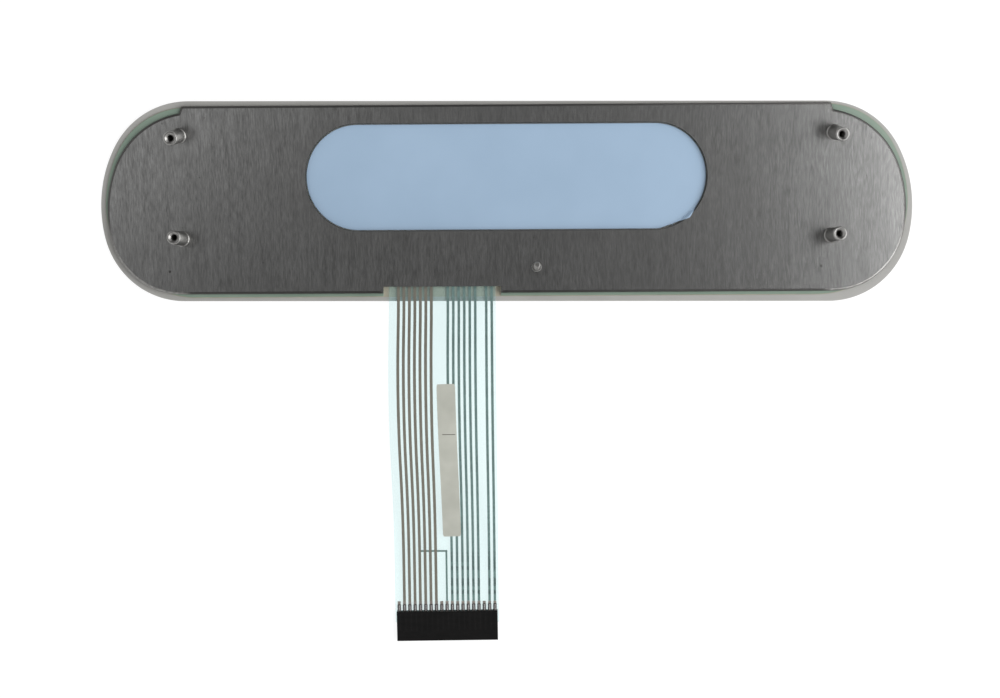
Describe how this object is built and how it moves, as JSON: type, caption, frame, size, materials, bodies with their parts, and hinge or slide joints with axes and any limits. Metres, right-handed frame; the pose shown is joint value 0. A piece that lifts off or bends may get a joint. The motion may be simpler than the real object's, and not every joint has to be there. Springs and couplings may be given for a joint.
{
  "type": "membrane keypad",
  "caption": "Bent membrane keypad with a stadium display window, a metal backing plate with threaded standoffs and a film tail ending in a crimped connector.",
  "frame": {"origin": "on the surface the keypad lies on, under the centre of the backing plate's long sides and halfway along it", "axes": "+X along the keypad as seen from its rear, +Y across it away from the tail, +Z out of the rear, along the standoffs"},
  "size_m": [0.376, 0.2552, 0.0211],
  "materials": {
    "overlay": "fine matt polycarbonate sheet, warm grey on its rear",
    "adhesive": "beige transfer adhesive",
    "retainer": "clear polyester",
    "spacer": "clear polyester with adhesive on both sides",
    "circuit_film": "polyester film with printed tracks, green print behind the plate",
    "lens": "clear polycarbonate",
    "protective_film": "pale blue peelable film",
    "plate": "mill finish sheet with fine crosswise grain",
    "fastener": "turned",
    "label": "bare grey paper",
    "housing": "moulded black nylon",
    "contact": "tin plated strip",
    "dome": "stainless spring sheet"
  },
  "bodies": {
    "root": {"graphic_overlay": "overlay", "overlay_adhesive": "adhesive", "dome_retainer": "retainer", "dome_spacer": "spacer", "circuit_film": "circuit_film", "rear_adhesive": "adhesive", "display_lens": "lens", "protective_film": "protective_film", "backing_plate": "plate", "standoff_upper_left": "fastener", "standoff_upper_right": "fastener", "standoff_lower_left": "fastener", "standoff_lower_right": "fastener", "ground_stud": "fastener", "tail_label": "label", "connector_housing": "housing", "contact_01": "contact", "contact_02": "contact", "contact_03": "contact", "contact_04": "contact", "contact_05": "contact", "contact_06": "contact", "contact_07": "contact", "contact_08": "contact", "contact_09": "contact", "contact_10": "contact", "contact_11": "contact", "contact_12": "contact", "contact_13": "contact", "contact_14": "contact", "contact_15": "contact", "contact_16": "contact", "contact_17": "contact", "contact_18": "contact", "contact_19": "contact", "snap_dome_01": "dome", "snap_dome_02": "dome", "snap_dome_03": "dome", "snap_dome_04": "dome", "snap_dome_05": "dome", "snap_dome_06": "dome", "snap_dome_07": "dome", "snap_dome_08": "dome", "snap_dome_09": "dome", "snap_dome_10": "dome", "snap_dome_11": "dome", "snap_dome_12": "dome", "snap_dome_13": "dome", "snap_dome_14": "dome", "snap_dome_15": "dome", "snap_dome_16": "dome", "snap_dome_17": "dome", "snap_dome_18": "dome"}
  },
  "joints": []
}
